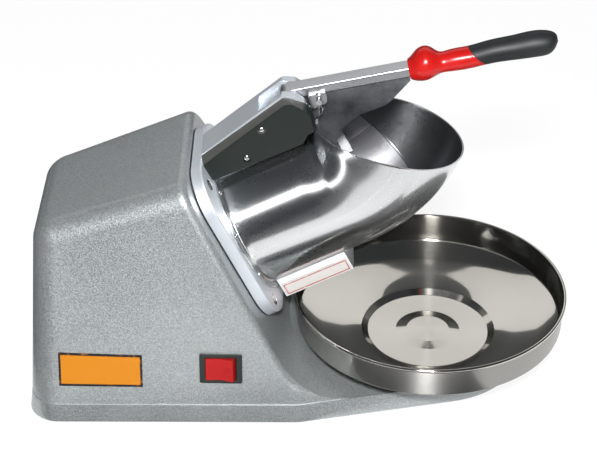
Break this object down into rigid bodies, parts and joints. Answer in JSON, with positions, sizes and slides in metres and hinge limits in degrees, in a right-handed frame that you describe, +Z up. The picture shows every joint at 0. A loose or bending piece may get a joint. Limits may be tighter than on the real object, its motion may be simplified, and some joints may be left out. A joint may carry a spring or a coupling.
{
  "type": "ice shaver",
  "caption": "Electric counter-top ice shaver with a hinged press lever, a sloping elbow hopper over a bladed disc, and a shallow lift-out bowl under the outlet.",
  "frame": {"origin": "centre of the bounding box, on the surface that the rubber feet stand on", "axes": "+Z up, +X forward towards the bowl, Y along the lever's hinge pin, with the switch on the -Y side"},
  "size_m": [0.415, 0.214, 0.2837],
  "materials": {
    "painted_body": "hammered metallic grey paint",
    "zinc_plate": "zinc plated",
    "rubber_black": "matte",
    "screw_steel": "bright",
    "cast_aluminium": "brushed casting",
    "stainless": "polished stainless",
    "bowl_stainless": "mirror polished stainless",
    "white_plate": "blank, thin red border",
    "orange_plate": "blank, black border",
    "black_moulding": "satin",
    "lever_steel": "bead blasted",
    "pin_steel": "ground",
    "bearing_steel": "ground",
    "bronze": "oiled",
    "lamination": "stacked sheets",
    "winding": "lacquered wire",
    "can_paint": "semi gloss",
    "capacitor_white": "plain",
    "blade_steel": "ground edge",
    "grip_red_dip": "dipped gloss",
    "grip_black_dip": "dipped satin",
    "rocker_red": "gloss, white marks"
  },
  "bodies": {
    "machine": {"housing_shell": "painted_body", "base_plate": "zinc_plate", "rubber_feet": "rubber_black", "plate_gasket": "rubber_black", "base_screws": "screw_steel", "plate_screws": "screw_steel", "hopper_screws": "screw_steel", "cover_screws": "screw_steel", "front_plate": "cast_aluminium", "motor_front_cap": "cast_aluminium", "motor_rear_cap": "cast_aluminium", "hinge_bracket": "cast_aluminium", "hopper_shell": "stainless", "discharge_guard": "stainless", "guard_label": "white_plate", "side_label": "orange_plate", "cover_near": "black_moulding", "switch_frame": "black_moulding", "terminal_block": "black_moulding", "interlock_switch": "black_moulding", "cord_inlet": "black_moulding", "hinge_pin": "pin_steel", "front_bearing": "bearing_steel", "rear_bearing": "bearing_steel", "nose_bush": "bronze", "stator_core": "lamination", "stator_windings": "winding", "motor_can": "can_paint", "capacitor_strap": "can_paint", "run_capacitor": "capacitor_white"},
    "spindle": {"spindle_shaft": "pin_steel", "rotor_core": "lamination", "cooling_fan": "black_moulding", "blade_disc": "stainless", "shaving_blades": "blade_steel", "blade_screws": "screw_steel", "disc_nut": "screw_steel"},
    "lever": {"lever_bar": "lever_steel", "pusher_web": "lever_steel", "pusher_plate": "stainless", "hinge_lug": "lever_steel", "link_pin": "pin_steel", "split_pin": "pin_steel", "grip_red": "grip_red_dip", "grip_black": "grip_black_dip"},
    "power_rocker": {"switch_rocker": "rocker_red"},
    "bowl": {"bowl": "bowl_stainless"}
  },
  "joints": [
    {"name": "spindle_spin", "type": "hinge", "parent": "machine", "child": "spindle", "pos_m": [-0.04103, 0, 0.12294], "axis": [0.891, 0, 0.454], "continuous": true},
    {"name": "lever_hinge", "type": "hinge", "parent": "machine", "child": "lever", "pos_m": [-0.0088, 0, 0.2295], "axis": [0, 1, 0], "range_deg": [-75, 0]},
    {"name": "rocker_pivot", "type": "hinge", "parent": "machine", "child": "power_rocker", "pos_m": [-0.05995, -0.08866, 0.04819], "axis": [0, 0.1553, 0.9879], "range_deg": [0, 16]},
    {"name": "bowl_lift_out", "type": "slide", "parent": "machine", "child": "bowl", "axis": [0.9397, 0, 0.342], "range_m": [0, 0.25]}
  ]
}
